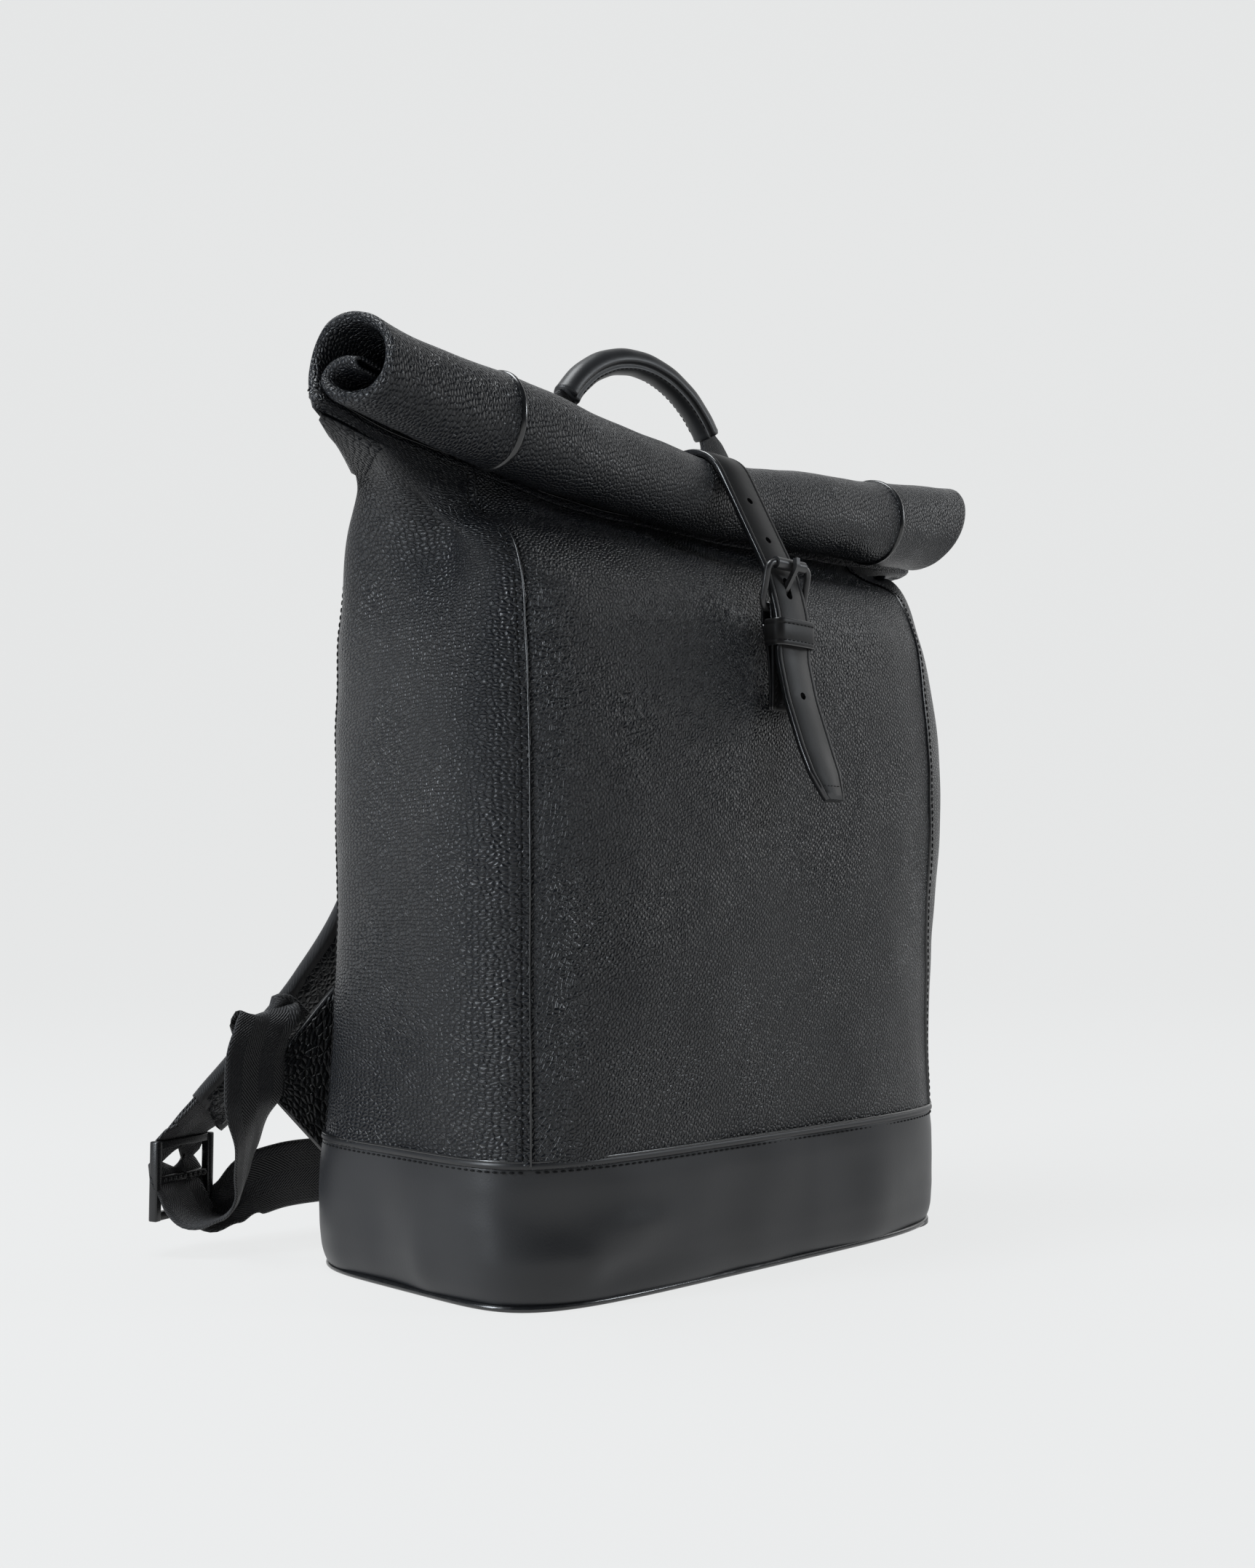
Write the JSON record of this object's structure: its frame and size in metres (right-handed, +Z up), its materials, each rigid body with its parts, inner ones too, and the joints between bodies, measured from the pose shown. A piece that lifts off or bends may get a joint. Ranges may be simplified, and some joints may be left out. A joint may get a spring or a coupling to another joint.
{
  "type": "roll-top backpack",
  "caption": "Leather roll-top backpack with a rolled and strapped top, roller buckle, carrying handle, padded shoulder straps and a smooth base band.",
  "frame": {"origin": "on the floor, in the middle of the flat underside of the bag", "axes": "+Z up, the front panel with the buckle faces -Y, +X to the right of someone who looks at the front"},
  "size_m": [0.428, 0.2521, 0.4205],
  "materials": {
    "grain_leather": "pebbled grain, semi-matt",
    "smooth_leather": "smooth, soft sheen",
    "edge_paint": "painted edge, glossy",
    "black_metal": "satin black coating",
    "black_plastic": "moulded, matt",
    "webbing": "herringbone woven webbing",
    "mesh_cloth": "air mesh",
    "lining_cloth": "plain weave",
    "foam": "closed-cell foam",
    "board": "fibre board"
  },
  "bodies": {
    "bag": {"front_panel": "grain_leather", "back_panel": "grain_leather", "left_side_panel": "grain_leather", "right_side_panel": "grain_leather", "left_front_seam_welt": "edge_paint", "right_front_seam_welt": "edge_paint", "left_back_seam_welt": "edge_paint", "right_back_seam_welt": "edge_paint", "base_band": "smooth_leather", "base_top_binding": "edge_paint", "bottom_welt": "edge_paint", "bottom_panel": "smooth_leather", "base_stiffener": "board", "lining": "lining_cloth", "back_foam": "foam", "collar_back": "grain_leather", "collar_front": "grain_leather", "closing_strap": "smooth_leather", "strap_anchor_patch": "smooth_leather", "buckle_chape": "smooth_leather", "strap_keeper": "smooth_leather", "buckle_frame": "black_metal", "handle_left_foot": "webbing", "handle_right_foot": "webbing", "back_pad": "mesh_cloth", "strap_yoke": "smooth_leather", "left_lower_webbing": "webbing", "left_corner_tab": "smooth_leather", "right_lower_webbing": "webbing", "right_corner_tab": "smooth_leather"},
    "carry_handle": {"handle_grip": "smooth_leather", "handle_core": "foam", "handle_left_webbing": "webbing", "handle_right_webbing": "webbing"},
    "roller": {"buckle_roller": "black_metal"},
    "prong": {"buckle_prong": "black_metal"},
    "strap_tail": {"strap_tip": "smooth_leather"},
    "left_harness": {"left_shoulder_strap_pad": "foam", "left_shoulder_strap_leather": "grain_leather", "left_shoulder_strap_lining": "mesh_cloth", "left_adjuster_loop": "webbing", "left_strap_adjuster": "black_plastic", "left_webbing_tail": "webbing"},
    "right_harness": {"right_shoulder_strap_pad": "foam", "right_shoulder_strap_leather": "grain_leather", "right_shoulder_strap_lining": "mesh_cloth", "right_adjuster_loop": "webbing", "right_strap_adjuster": "black_plastic", "right_webbing_tail": "webbing"}
  },
  "joints": [
    {"name": "handle_swing", "type": "hinge", "parent": "bag", "child": "carry_handle", "pos_m": [0, 0.012, 0.3135], "axis": [-1, 0, 0], "range_deg": [-8, 60], "stiffness_Nm_per_rad": 0.06},
    {"name": "roller_spin", "type": "hinge", "parent": "bag", "child": "roller", "pos_m": [0.003, -0.0849, 0.304], "axis": [1, 0, 0], "continuous": true},
    {"name": "prong_lift", "type": "hinge", "parent": "bag", "child": "prong", "pos_m": [0.003, -0.0806, 0.284], "axis": [1, 0, 0], "range_deg": [0, 6]},
    {"name": "strap_tail_flex", "type": "hinge", "parent": "bag", "child": "strap_tail", "pos_m": [0.003, -0.0881, 0.2622], "axis": [-1, 0, 0], "range_deg": [0, 35]},
    {"name": "left_strap_swing", "type": "hinge", "parent": "bag", "child": "left_harness", "pos_m": [-0.046, 0.078, 0.3], "axis": [1, 0, 0], "range_deg": [0, 9], "deforming": ["left_lower_webbing"]},
    {"name": "right_strap_swing", "type": "hinge", "parent": "bag", "child": "right_harness", "pos_m": [0.046, 0.078, 0.3], "axis": [1, 0, 0], "range_deg": [0, 9], "deforming": ["right_lower_webbing"]}
  ]
}
